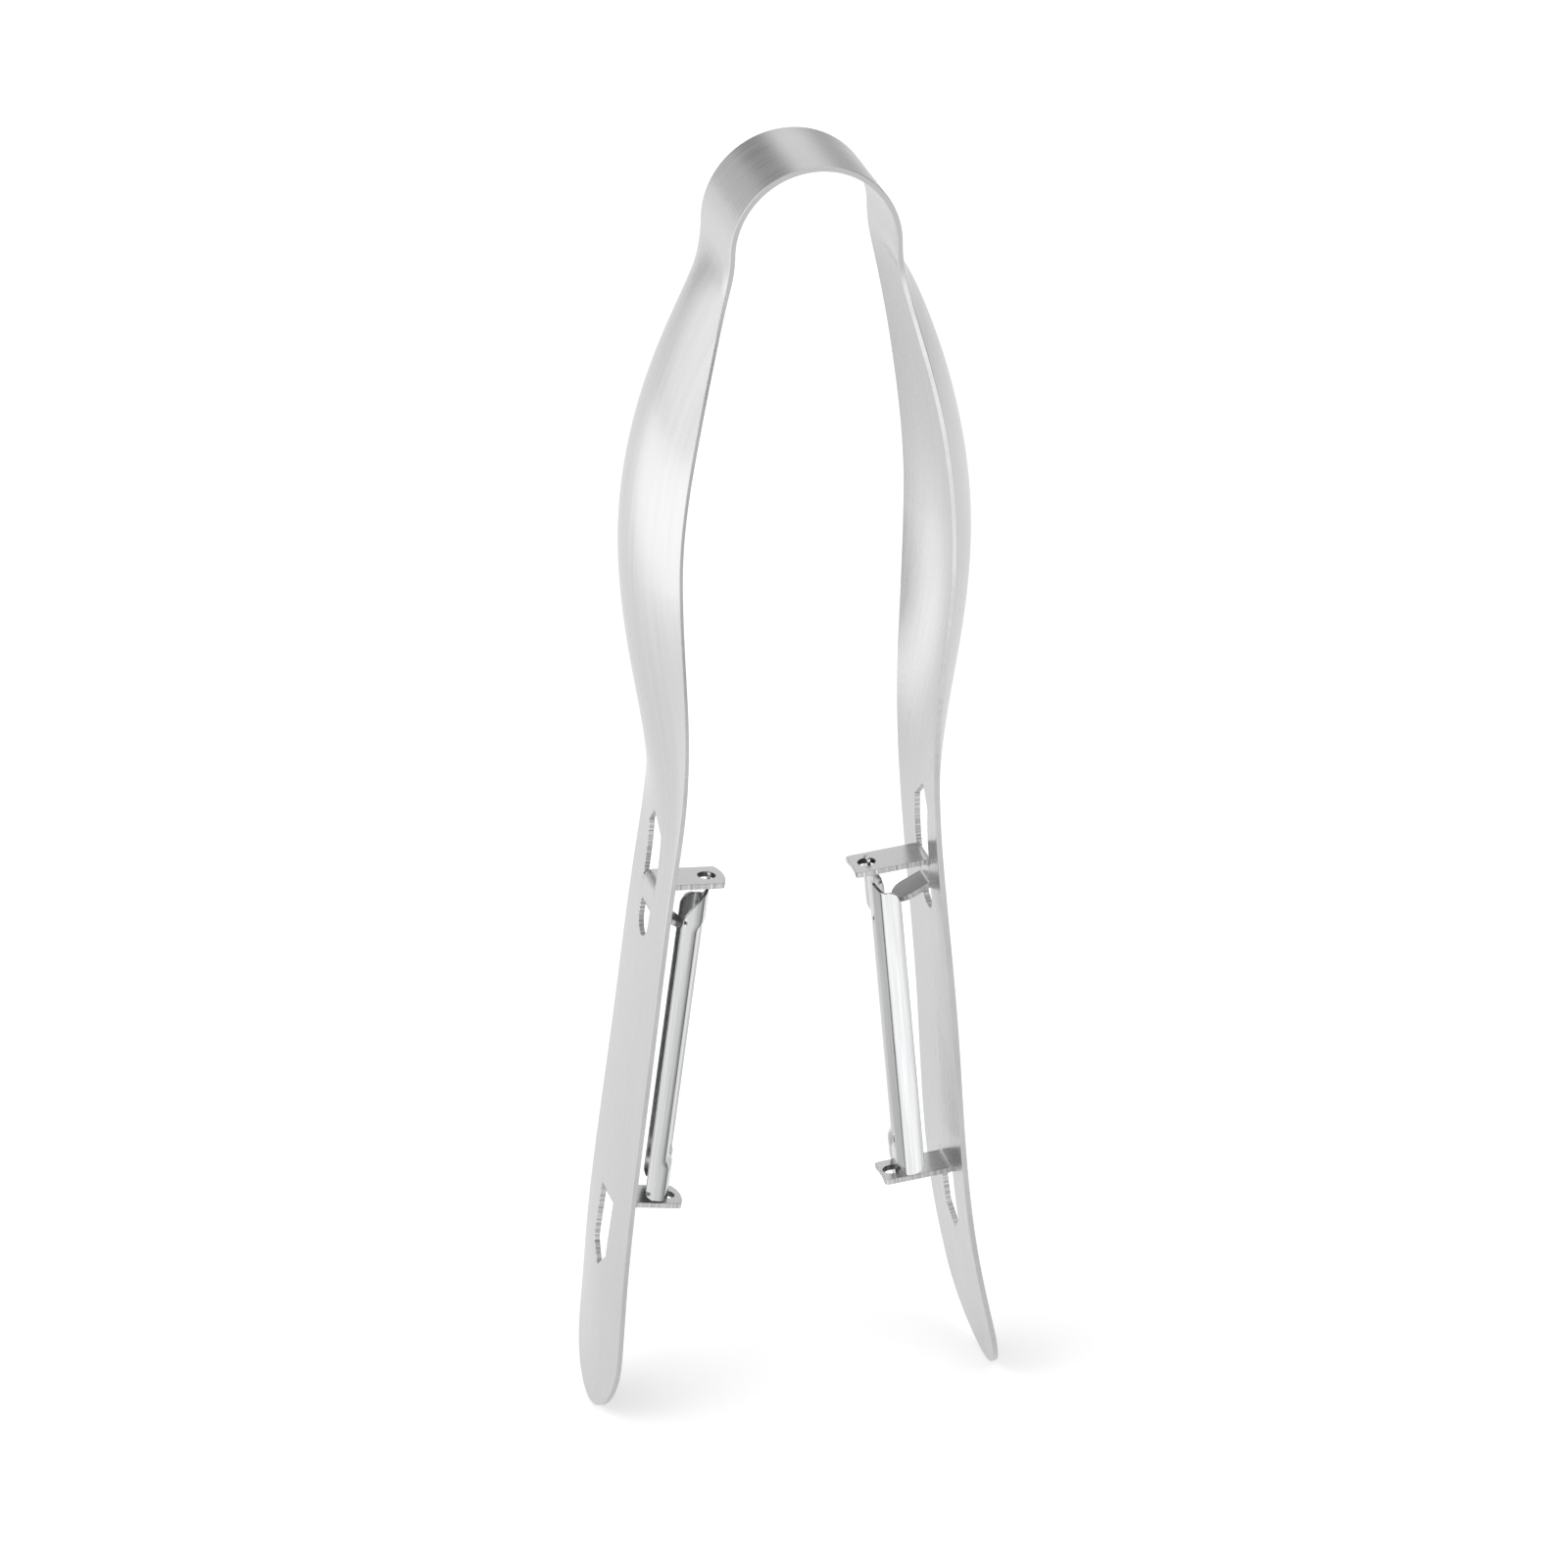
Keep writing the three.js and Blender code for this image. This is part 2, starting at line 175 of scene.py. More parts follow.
# ---------------------------------------------------------------- curves


def spline(rows):
    """A smooth curve through rows of [height, value], level at its upper end."""
    x, y = np.array(rows, float).T
    n = len(x)
    h = np.diff(x)
    a, b = np.zeros((n, n)), np.zeros(n)
    a[0, 0] = 1
    for i in range(1, n - 1):
        a[i, i - 1], a[i, i], a[i, i + 1] = h[i - 1], 2 * (h[i - 1] + h[i]), h[i]
        b[i] = 6 * ((y[i + 1] - y[i]) / h[i] - (y[i] - y[i - 1]) / h[i - 1])
    a[-1, -2:] = h[-1], 2 * h[-1]
    b[-1] = -6 * (y[-1] - y[-2]) / h[-1]
    m = np.linalg.solve(a, b)

    def read(at):
        at = np.clip(at, x[0], x[-1])
        i = np.clip(np.searchsorted(x, at, side="right") - 1, 0, n - 2)
        u, v = x[i + 1] - at, at - x[i]
        return (
            (m[i] * u**3 + m[i + 1] * v**3) / (6 * h[i])
            + (y[i] / h[i] - m[i] * h[i] / 6) * u
            + (y[i + 1] / h[i] - m[i + 1] * h[i] / 6) * v
        )

    return read


width_curve = spline(WIDTH)
hollow_at = {side: spline(HOLLOW[side]) for side in (RIGHT, LEFT)}
spread_at = {side: spline(SPREAD[side]) for side in (RIGHT, LEFT)}


def width_at(s):
    """Width of the strip at a station, which is the height up to the bow."""
    return np.minimum(width_curve(s), WIDEST)


def strip_half(s):
    """Half the strip's width at a station, with the rounded tip."""
    radius = width_at(0) / 2
    tip = np.sqrt(np.maximum(radius**2 - (radius - np.clip(s, 0, radius)) ** 2, 0))
    return np.where(s < radius, tip, width_at(s) / 2)


def edge_line(side, s):
    """Distance from the middle and height of the outer face's edge line at a station."""
    turn = np.maximum(s - SPRING_LINE, 0) / BOW_RADIUS
    below = np.minimum(s, SPRING_LINE)
    x = np.where(s > SPRING_LINE, BOW_RADIUS * np.cos(turn), spread_at[side](below))
    z = np.where(s > SPRING_LINE, SPRING_LINE + BOW_RADIUS * np.sin(turn), below)
    return x, z


def strip_surface(side):
    """The strip's outer face as a function of (across, station)."""

    def at(t, s):
        step = 0.05
        x, z = edge_line(side, s)
        x1, z1 = edge_line(side, s + step)
        x0, z0 = edge_line(side, s - step)
        length = np.hypot(x1 - x0, z1 - z0)
        nx, nz = (z1 - z0) / length, (x0 - x1) / length
        crown = hollow_at[side](np.minimum(s, SPRING_LINE)) * (1 - (2 * t / width_at(s)) ** 2)
        crown = np.where(s > SPRING_LINE, 0, crown)
        return np.stack([side * (x + nx * crown), t, z + nz * crown], -1)

    return at


def surface_normals(surface, t, s, towards):
    """Unit normals of a surface, turned to the side that towards points to."""
    step = 0.02
    along_t = surface(t + step, s) - surface(t - step, s)
    along_s = surface(t, s + step) - surface(t, s - step)
    n = np.cross(along_t, along_s)
    n /= np.linalg.norm(n, axis=-1, keepdims=True)
    return n * np.sign((n * towards).sum(-1, keepdims=True))


# ---------------------------------------------------------------- sheets


def split_edges(points, step, closed=True):
    """Points along an outline, no further apart than step."""
    points = np.array(points, float)
    ends = np.roll(points, -1, 0) if closed else points[1:]
    out = []
    for a, b in zip(points, ends):
        n = max(1, math.ceil(np.linalg.norm(b - a) / step - 1e-6))
        out += [a + (b - a) * k / n for k in range(n)]
    if not closed:
        out.append(points[-1])
    return np.array(out)


def inside(points, loops):
    """Which points lie inside the first loop and outside the others."""
    result = np.zeros(len(points), bool)
    x, y = points.T
    for loop in loops:
        for (x0, y0), (x1, y1) in zip(loop, np.roll(loop, -1, 0)):
            cross = (y0 > y) != (y1 > y)
            with np.errstate(divide="ignore", invalid="ignore"):
                at = x0 + (y - y0) * (x1 - x0) / (y1 - y0)
            result ^= cross & (x < at)
    return result


def fill(loops, spacing):
    """Triangles over the region inside the first loop and outside the others."""
    border = np.concatenate(loops)
    low, high = border.min(0), border.max(0)
    xs = np.arange(low[0] + spacing / 2, high[0], spacing)
    ys = np.arange(low[1] + spacing / 2, high[1], spacing)
    grid = np.array([(x, y) for y in ys for x in xs])
    grid = grid[inside(grid, loops)]
    clearance = 0.55 * spacing  # between the outlines and the points inside them
    clear = np.array([np.min(((border - p) ** 2).sum(1)) for p in grid]) > clearance**2
    points = np.concatenate([border, grid[clear]])
    edges, start = [], 0
    for loop in loops:
        n = len(loop)
        edges += [(start + k, start + (k + 1) % n) for k in range(n)]
        start += n
    made = delaunay_2d_cdt([Vector(p) for p in points], edges, [], 0, 1e-7)
    verts = np.array([tuple(v) for v in made[0]])
    faces = np.array(made[2])
    return verts, faces[inside(verts[faces].mean(1), loops)]


def unit(vector, fallback):
    size = np.linalg.norm(vector)
    return vector / size if size > TINY else fallback


class Sheet:
    """A sheet of metal made of flat patches that are each mapped to a surface."""

    def __init__(self, thickness):
        self.thickness = thickness
        self.points, self.normals, self.uvs, self.faces = [], [], [], []
        self.index = {}

    def add(self, loops, spacing, place, uv):
        """Add the patch inside flat outlines, put in space by place. Points that meet are joined."""
        flat, faces = fill(loops, spacing)
        points, normals = place(flat[:, 0], flat[:, 1])
        uvs = uv(flat[:, 0], flat[:, 1])
        local = []
        for point, normal, flat_place in zip(points, normals, uvs):
            key = tuple(np.round(point, 4))
            if key not in self.index:
                self.index[key] = len(self.points)
                self.points.append(point)
                self.normals.append(normal)
                self.uvs.append(flat_place)
            local.append(self.index[key])
        for face in faces:
            a, b, c = (local[k] for k in face)
            pa, pb, pc = (self.points[k] for k in (a, b, c))
            if np.dot(np.cross(pb - pa, pc - pa), self.normals[a]) < 0:
                b, c = c, b
            self.faces.append((a, b, c))

    def solid(self, name, is_seam, rim_kind):
        """The sheet with its thickness and rounded rims, as an object.

        Material slots are FACE for the faces, EDGE for the rims, and what rim_kind gives where that
        isn't FACE. Points for which is_seam holds meet another sheet, so no rim stands out there.
        """
        points, normals = np.array(self.points), np.array(self.normals)
        count = len(points)
        directed = {(f[k], f[(k + 1) % 3]) for f in self.faces for k in range(3)}
        rim_edges = [(a, b) for a, b in directed if (b, a) not in directed]
        following, before = {a: b for a, b in rim_edges}, {b: a for a, b in rim_edges}
        rim = sorted(following)
        out = {}
        for v in rim:
            tangent = points[following[v]] - points[before[v]]
            if is_seam(points[v]):
                along = [w for w in (following[v], before[v]) if not is_seam(points[w])]
                tangent = np.zeros(3)
                if along:
                    forward = 1 if along[0] == following[v] else -1
                    tangent = forward * (points[along[0]] - points[v])
            outward = np.cross(tangent, normals[v])
            out[v] = unit(outward, outward)
        # Rows of the rim: how far out, how deep, and the shares of outward and normal in its normal.
        thick, chord = self.thickness, RIM * (1 - math.sqrt(0.5))
        profile = [
            (RIM - chord, chord, 1, 1), (RIM, RIM, 1, 0), (RIM, thick - RIM, 1, 0),
            (RIM - chord, thick - chord, 1, -1),
        ]
        wall = 2  # the straight band between the second and third row
        all_points = [*points, *(points - thick * normals)]
        all_normals = [*normals, *(-normals)]
        all_uvs = [*self.uvs, *self.uvs]
        rings = []
        for reach, depth, outward_share, normal_share in profile:
            ring = {}
            for v in rim:
                ring[v] = len(all_points)
                all_points.append(points[v] + reach * out[v] - depth * normals[v])
                normal = outward_share * out[v] + normal_share * normals[v]
                all_normals.append(unit(normal, normals[v]))
                all_uvs.append(self.uvs[v])
            rings.append(ring)
        top = {v: v for v in rim}
        bottom = {v: v + count for v in rim}
        faces = [*self.faces, *[(a + count, c + count, b + count) for a, b, c in self.faces]]
        material = [FACE] * len(faces)
        levels = [top, *rings, bottom]
        kinds = {v: rim_kind(points[v]) for v in rim}
        for a, b in rim_edges:
            kind = kinds[a] if kinds[a] == kinds[b] else FACE
            for band, (upper, lower) in enumerate(zip(levels, levels[1:])):
                faces.append((upper[b], upper[a], lower[a], lower[b]))
                material.append(kind or (EDGE if band == wall else FACE))
        mesh = bpy.data.meshes.new(name)
        mesh.from_pydata([tuple(p * MM) for p in all_points], [], faces)
        layer = mesh.uv_layers.new(name="sheet")
        loop_vertex = np.zeros(len(mesh.loops), int)
        mesh.loops.foreach_get("vertex_index", loop_vertex)
        uv = np.array(all_uvs)[loop_vertex] * MM
        layer.data.foreach_set("uv", uv.astype(np.float32).ravel())
        mesh.polygons.foreach_set("material_index", material)
        mesh.polygons.foreach_set("use_smooth", [True] * len(faces))
        mesh.normals_split_custom_set_from_vertices([tuple(n) for n in all_normals])
        mesh.update()
        obj = bpy.data.objects.new(name, mesh)
        bpy.context.scene.collection.objects.link(obj)
        return obj


# ---------------------------------------------------------------- the strip


def axis_line(pivot):
    """A point on a joint's axis in the strip's own millimetres, and its direction."""
    point = (np.array(pivot["pos_m"]) - np.array(FRAME_SHIFT)) / MM
    return point, np.array(pivot["axis"]) / np.linalg.norm(pivot["axis"])


class Flap:
    """A flap cut from the strip and bent inwards: its root station, direction, angle and half width."""

    def __init__(self, side, root, direction, angle, half):
        self.surface = strip_surface(side)
        self.root, self.direction, self.angle, self.half = root, direction, angle, half
        zero, station = np.zeros(1), np.array([float(root)])
        self.outwards = surface_normals(self.surface, zero, station, np.array([side, 0, 0]))[0]
        up = self.surface(zero, station + 0.1)[0] - self.surface(zero, station - 0.1)[0]
        up -= self.outwards * np.dot(up, self.outwards)
        self.lead = direction * up / np.linalg.norm(up)

    def root_points(self):
        return [(t, self.root) for t in np.linspace(self.half, -self.half, 11)]

    def reach_to_length(self, reach):
        """Length along the flap of a point at this distance in from the outer face."""
        bent = BEND * (1 - math.cos(self.angle))
        return BEND * self.angle + (reach - bent) / math.sin(self.angle)

    def length_at_pivot(self, pivot):
        """Length along the flap at which a blade's axis goes through it."""
        point, axis = axis_line(pivot)
        u = np.linspace(*LUG_REACH, 1001)
        spots, normals = self.place(0 * u, u)
        away = spots - normals * SHEET / 2 - point
        away -= np.outer(away @ axis, axis)
        return float(u[np.argmin((away**2).sum(1))])

    def place(self, t, u):
        """Points and normals of the bent flap at (across, along)."""
        start = self.surface(t, np.full(len(t), float(self.root)))
        turn = np.clip(u / BEND, 0, self.angle)[:, None]
        rest = np.maximum(u - BEND * self.angle, 0)[:, None]
        inwards = -self.outwards
        along = np.cos(turn) * self.lead + np.sin(turn) * inwards
        points = start + BEND * (np.sin(turn) * self.lead + (1 - np.cos(turn)) * inwards)
        return points + rest * along, np.sin(turn) * self.lead - np.cos(turn) * inwards

    def uv(self, t, u):
        return np.stack([self.root + self.direction * u, t], -1)


def close_loop(flap_root, outline):
    """An outline that starts and ends at a flap's root, closed along the root's points."""
    path = split_edges([flap_root[-1], *outline, flap_root[0]], EDGE_STEP, False)
    return np.array([*path[:-1], *flap_root[:-1]])


def half_circle(radius, centre, direction):
    """Points of a half circle from (-radius, centre) to (radius, centre)."""
    return [
        (-radius * math.cos(a), centre + direction * radius * math.sin(a))
        for a in np.linspace(0, math.pi, 17)
    ]


def slot_loop(flap, length):
    """Outline of the pointed hole that a lug leaves, with its root points in line with the lug's."""
    d = flap.direction
    foot = flap.root - d * RELIEF
    shoulder, end = flap.root + d * (length - SLOT_POINT), flap.root + d * length
    side = [(-flap.half, foot), (-SLOT_HALF, foot), (-SLOT_HALF, shoulder)]
    tip = [(-0.3, end - 0.1 * d), (0.3, end - 0.1 * d)]
    return close_loop(flap.root_points(), [*side, *tip, *[(-t, s) for t, s in reversed(side)]])


def round_hole_loop(flap, length, hole_half):
    """Outline of the hole behind a tab with a rounded end."""
    d = flap.direction
    foot = flap.root - d * RELIEF
    arc = half_circle(hole_half, flap.root + d * (length - hole_half), d)
    corners = [(-flap.half, foot), (-hole_half, foot)]
    outline = [*corners, *arc, *[(-t, s) for t, s in reversed(corners)]]
    return close_loop(flap.root_points(), outline)


def lug_loops(flap, pivot, beyond, bulge):
    """Outline and pivot hole of a lug in its flap's own (across, along) plane."""
    centre = flap.length_at_pivot(pivot)
    full = centre + beyond
    corner = full - max(bulge, 0)
    soft = 0.35 if bulge < 0 else 0.15  # the cut-off at its two corners
    end = [(-flap.half, corner - soft)]
    for t in np.linspace(soft - flap.half, flap.half - soft, 13):
        end.append((t, corner + bulge * (1 - (t / flap.half) ** 2)))
    end.append((flap.half, corner - soft))
    root = [(t, 0.0) for t, _ in flap.root_points()]
    radius = PIVOT_HOLE / 2 + RIM
    turns = np.linspace(0, 2 * math.pi, 33)[:-1]
    hole = [(radius * math.cos(a), centre + radius * math.sin(a)) for a in turns]
    return [close_loop(root, end), np.array(hole)]


def tab_loops(flap, length):
    """Outline of a stop tab in its flap's own plane."""
    full = flap.reach_to_length(length + SHEET)
    root = [(t, 0.0) for t, _ in flap.root_points()]
    return [close_loop(root, half_circle(flap.half, full - flap.half, 1))]


def strip_outline():
    """Half of the strip, from its tip to the middle of the bow."""
    stations = [*np.arange(13, CROWN, 1.0), CROWN - 0.05, CROWN]
    radius = float(width_at(0) / 2)
    tip = []
    for a in np.linspace(0, math.pi / 2, 24)[1:]:
        tip.append((radius * math.sin(a) - RIM, TIP_CUT + (radius - TIP_CUT) * (1 - math.cos(a))))
    right = [*tip, *[(float(strip_half(s)) - RIM, s) for s in stations]]
    across = [(t, CROWN) for t in np.linspace(right[-1][0], -right[-1][0], 20)[1:-1]]
    left = [(-t, s) for t, s in reversed(right)]
    return np.array([(0.0, TIP_CUT), *right, *across, *left])


def make_strip(side, name, pivot):
    """One half of the strip with its lugs and stop tab, up to the middle of the bow."""
    seat = SEATS[side]
    surface = strip_surface(side)
    low, high = (spread_at[side](seat["middle"] + v) for v in (LOWER_LUG_TOP, UPPER_LUG_TOP))
    rise = math.cos(math.atan2(float(high - low), UPPER_LUG_TOP - LOWER_LUG_TOP))

    def station(along):
        return seat["middle"] + along * rise

    square = math.pi / 2
    upper_angle, stop_angle = (square - math.radians(seat[key]) for key in ("tilt", "droop"))
    upper = Flap(side, station(UPPER_LUG_TOP - BEND), 1, upper_angle, LUG_HALF)
    lower = Flap(side, station(LOWER_LUG_TOP - SHEET + BEND), -1, square, LUG_HALF)
    stop = Flap(side, station(STOP_TOP), -1, stop_angle, STOP_HALF)
    upper_slot = slot_loop(upper, UPPER_SLOT_LENGTH + BEND)
    lower_slot = slot_loop(lower, LOWER_SLOT_LENGTH + BEND)
    stop_hole = round_hole_loop(stop, STOP_HOLE_LENGTH, STOP_HOLE_HALF)

    def outwards_of(s):
        turn = np.maximum(s - SPRING_LINE, 0) / BOW_RADIUS
        return np.stack([side * np.cos(turn), 0 * s, np.sin(turn)], -1)

    def place(t, s):
        return surface(t, s), surface_normals(surface, t, s, outwards_of(s))

    sheet = Sheet(SHEET)
    loops = [strip_outline(), upper_slot, lower_slot, stop_hole]
    sheet.add(loops, GRID, place, lambda t, s: np.stack([s, t], -1))
    for flap, length in ((upper, seat["upper"]), (lower, seat["lower"])):
        beyond = length - seat["reach"]
        sheet.add(lug_loops(flap, pivot, beyond, seat["bulge"]), FLAP_GRID, flap.place, flap.uv)
    sheet.add(tab_loops(stop, STOP_LENGTH), FLAP_GRID, stop.place, stop.uv)
    on_axis, axis = axis_line(pivot)

    def is_seam(p):
        return abs(p[0]) < 1e-4

    def rim_kind(p):
        away = p - on_axis
        if np.linalg.norm(away - np.dot(away, axis) * axis) < PIVOT_HOLE * 0.6:
            return BORE
        in_cut = abs(p[1]) < CUT_HALF and CUT_HEIGHTS[0] < p[2] < CUT_HEIGHTS[1]
        return TORN if in_cut else FACE

    strip = sheet.solid(name, is_seam, rim_kind)
    strip.data.transform(Matrix.Translation(FRAME_SHIFT))
    return strip


# ---------------------------------------------------------------- blades


def blade_profile(c):
    """Channel section: (towards the other arm, across) at a distance c along it from its crown."""
    size = np.abs(c)
    web = np.minimum(size, BLADE_WEB)
    web_radius = BLADE_WEB / BLADE_WEB_TURN
    turn = web / web_radius
    x = -web_radius * (1 - np.cos(turn))
    y = web_radius * np.sin(turn)
    bend = np.clip((size - BLADE_WEB) / BLADE_CORNER, 0, math.pi / 2 - BLADE_WEB_TURN)
    x += -BLADE_CORNER * (math.cos(BLADE_WEB_TURN) - np.cos(BLADE_WEB_TURN + bend))
    y += BLADE_CORNER * (np.sin(BLADE_WEB_TURN + bend) - math.sin(BLADE_WEB_TURN))
    rest = size - BLADE_WEB - BLADE_CORNER * (math.pi / 2 - BLADE_WEB_TURN)
    x -= np.maximum(rest, 0)
    return x, y * np.sign(c)


def smooth(low, high, value):
    """0 up to low, 1 from high on, and a smooth step between them."""
    u = np.clip((value - low) / (high - low), 0, 1)
    return u * u * (3 - 2 * u)


def blade_surface(side):
    """The blade's outer face as a function of (across, along)."""
    low, high = SLIT[side]

    def at(c, z):
        x, y = blade_profile(c)
        # The half beside the slit sinks, and levels out past the slit's ends and down the flange.
        along_slit = smooth(high + 0.4, high - 1.2, z) * smooth(low - 0.4, low + 1.2, z)
        sunk = smooth(0.6, 0.1, c) * smooth(-6.2, -4.6, c) * along_slit
        return np.stack([x - SINK * sunk, y, z], -1)

    return at


def blade_loops(slit_low, slit_high):
    """Outline and slit of the blade's flat blank as (across, along)."""
    side = BLADE_HALF
    top, bottom = BLADE_TOP, BLADE_BOTTOM
    rounded = [
        (0.8, top + TANG_TOP), (0.8, top + 0.4), (1.5, top - 0.5), (1.6, top - 1.9), (4.4, top - 2.9),
        (5.8, top - 3.0), (6.7, top - 3.6), (side, top - 4.8), (side, bottom + 1.4),
        (side - 0.4, bottom + 0.4), (side - 1.4, bottom), (4.4, bottom), (2.4, bottom + 0.9),
        (1.0, bottom + 0.9), (0.7, bottom), (0.7, bottom - TANG_BOTTOM),
    ]
    sloped = [
        (-0.7, bottom - TANG_BOTTOM), (-0.7, bottom), (-1.0, bottom + 0.9), (-2.4, bottom + 0.9),
        (-4.4, bottom), (1.0 - side, bottom), (0.25 - side, bottom + 0.5), (-side, bottom + 1.6),
        (-side, top - 5.6), (0.3 - side, top - 4.2), (1.0 - side, top - 2.8), (1.9 - side, top - 1.6),
        (-4.4, top - 0.4), (-2.6, top), (-0.8, top + 0.3), (-0.8, top + TANG_TOP),
    ]
    near, far = SLIT_EDGES
    slit = [
        (near, slit_high - SLIT_SLANT), (far - 0.2, slit_high), (far, slit_high - 0.3),
        (far, slit_low), (near, slit_low + SLIT_SLANT),
    ]
    return [split_edges([*rounded, *sloped], BLADE_GRID), split_edges(slit, BLADE_GRID)]


def make_blade(side, name, pivot):
    """A blade on its pivot, turned and leant as it hangs at rest."""
    seat = SEATS[side]
    up = Vector(pivot["axis"]).normalized()
    inwards = Vector((-side * up.z, 0, side * up.x))
    on_pivot = Matrix((inwards, up.cross(inwards), up)).transposed().to_4x4()
    on_pivot.translation = Vector(pivot["pos_m"])
    placement = (
        on_pivot
        @ Matrix.Rotation(math.radians(seat["swivel"]), 4, "Z")
        @ Matrix.Rotation(math.radians(seat["lean"]), 4, "Y")
        @ Matrix.Translation((seat["crown"] * MM, 0, 0))
    )

    surface = blade_surface(side)

    def place(c, z):
        turn = c * 0.2  # roughly how the section turns per millimetre
        away = np.stack([np.cos(turn), np.sin(turn), 0 * z], -1)
        return surface(c, z), surface_normals(surface, c, z, away)

    sheet = Sheet(BLADE_SHEET)
    sheet.add(blade_loops(*SLIT[side]), BLADE_GRID, place, lambda c, z: np.stack([z, c], -1))
    blade = sheet.solid(name, lambda p: False, lambda p: FACE)
    blade.data.transform(placement)
    return blade


# ---------------------------------------------------------------- materials


class Nodes:
    """Short way to build a node tree."""

    def __init__(self, tree):
        self.tree = tree
        tree.nodes.clear()

    def add(self, kind, inputs=None, **settings):
        """A new node. Its inputs are values or the sockets that feed them."""
        node = self.tree.nodes.new(kind)
        for key, value in settings.items():
            setattr(node, key, value)
        for key, value in (inputs or {}).items():
            if isinstance(value, bpy.types.NodeSocket):
                self.tree.links.new(value, node.inputs[key])
            else:
                node.inputs[key].default_value = value
        return node

    def calc(self, operation, a, b):
        return self.add("ShaderNodeMath", {0: a, 1: b}, operation=operation).outputs[0]

    def remap(self, value, first, last, low, high, **settings):
        inputs = {0: value, 1: first, 2: last, 3: low, 4: high}
        return self.add("ShaderNodeMapRange", inputs, **settings).outputs[0]


def new_material(name):
    material = bpy.data.materials.new(name)
    material.use_nodes = True
    return material, Nodes(material.node_tree)


def steel(name, base, roughness, spread, grain, bump, anisotropy, contrast, painted_bands=()):
    """Brushed steel whose grain runs along the sheet.

    grain is lines per metre across it and bump their depth in metres. spread and contrast say how much
    the roughness and the tone vary with them. The last argument gives rows of [millimetres across, tone]
    for bands of painted shade and painted highlights along the sheet.
    """
    material, make = new_material(name)
    uv = make.add("ShaderNodeUVMap", uv_map="sheet").outputs["UV"]

    def streaks(along, across, detail):
        stretched = make.add("ShaderNodeMapping", {"Vector": uv, "Scale": (along, across, 1)})
        noise = make.add(
            "ShaderNodeTexNoise",
            {"Vector": stretched.outputs["Vector"], "Scale": 1.0, "Detail": detail, "Roughness": 0.6},
        )
        return noise.outputs["Fac"]

    def vary(noise, low, high):
        return make.remap(noise, 0.3, 0.7, low, high)  # nearly all noise lies between 0.3 and 0.7

    fine = streaks(60, grain, 3)
    broad = streaks(25, grain / 9, 2)
    blotch = streaks(30, 60, 2)
    mixed = make.calc("MULTIPLY", make.calc("ADD", fine, broad), 0.5)
    rough = make.calc(
        "ADD", vary(mixed, roughness - spread, roughness + spread), vary(blotch, -0.02, 0.02)
    )
    tone = vary(mixed, 1 - contrast, 1 + contrast / 2)
    # Bands of painted shade and painted highlights, placed across the sheet
    if painted_bands:
        across = make.add("ShaderNodeSeparateXYZ", {"Vector": uv}).outputs["Y"]
        place = make.remap(across, -STRIPE_REACH * MM, STRIPE_REACH * MM, 0.0, 1.0)
        ramp = make.add("ShaderNodeValToRGB", {"Fac": place})
        elements = ramp.color_ramp.elements
        while len(elements) < len(painted_bands):
            elements.new(0.5)
        for element, (where, level) in zip(elements, painted_bands):
            element.position = (where + STRIPE_REACH) / (2 * STRIPE_REACH)
            element.color = (level, level, level, 1)
        tone = make.calc("MULTIPLY", tone, ramp.outputs["Color"])
    colour = make.add("ShaderNodeHueSaturation", {"Value": tone, "Color": (*base, 1)})
    height = make.add("ShaderNodeBump", {"Height": mixed, "Strength": 1.0, "Distance": bump})
    tangent = make.add("ShaderNodeTangent", direction_type="UV_MAP", uv_map="sheet")
    shader = make.add(
        "ShaderNodeBsdfPrincipled",
        {
            "Base Color": colour.outputs["Color"], "Metallic": 1.0, "Roughness": rough,
            "Anisotropic": anisotropy, "Anisotropic Rotation": 0.25,
            "Normal": height.outputs["Normal"], "Tangent": tangent.outputs["Tangent"],
        },
    )
    make.add("ShaderNodeOutputMaterial", {"Surface": shader.outputs["BSDF"]})
    return material


def torn_steel(name, dark, light):
    """Rough sheared edge with fine ribs across its thickness, from a dark to a light grey."""
    material, make = new_material(name)
    uv = make.add("ShaderNodeUVMap", uv_map="sheet").outputs["UV"]
    ribs = make.add(
        "ShaderNodeTexNoise", {"Vector": uv, "Scale": 2400.0, "Detail": 3.0, "Roughness": 0.7}
    ).outputs["Fac"]
    tone = make.add("ShaderNodeValToRGB", {"Fac": ribs})
    for element, position, level in zip(tone.color_ramp.elements, (0.35, 0.65), (dark, light)):
        element.color = (level, level, level, 1)
        element.position = position
    bump = make.add("ShaderNodeBump", {"Height": ribs, "Strength": 1.0, "Distance": 0.08 * MM})
    shader = make.add(
        "ShaderNodeBsdfPrincipled",
        {
            "Base Color": tone.outputs["Color"], "Metallic": 1.0, "Roughness": 0.5,
            "Normal": bump.outputs["Normal"],
        },
    )
    make.add("ShaderNodeOutputMaterial", {"Surface": shader.outputs["BSDF"]})
    return material
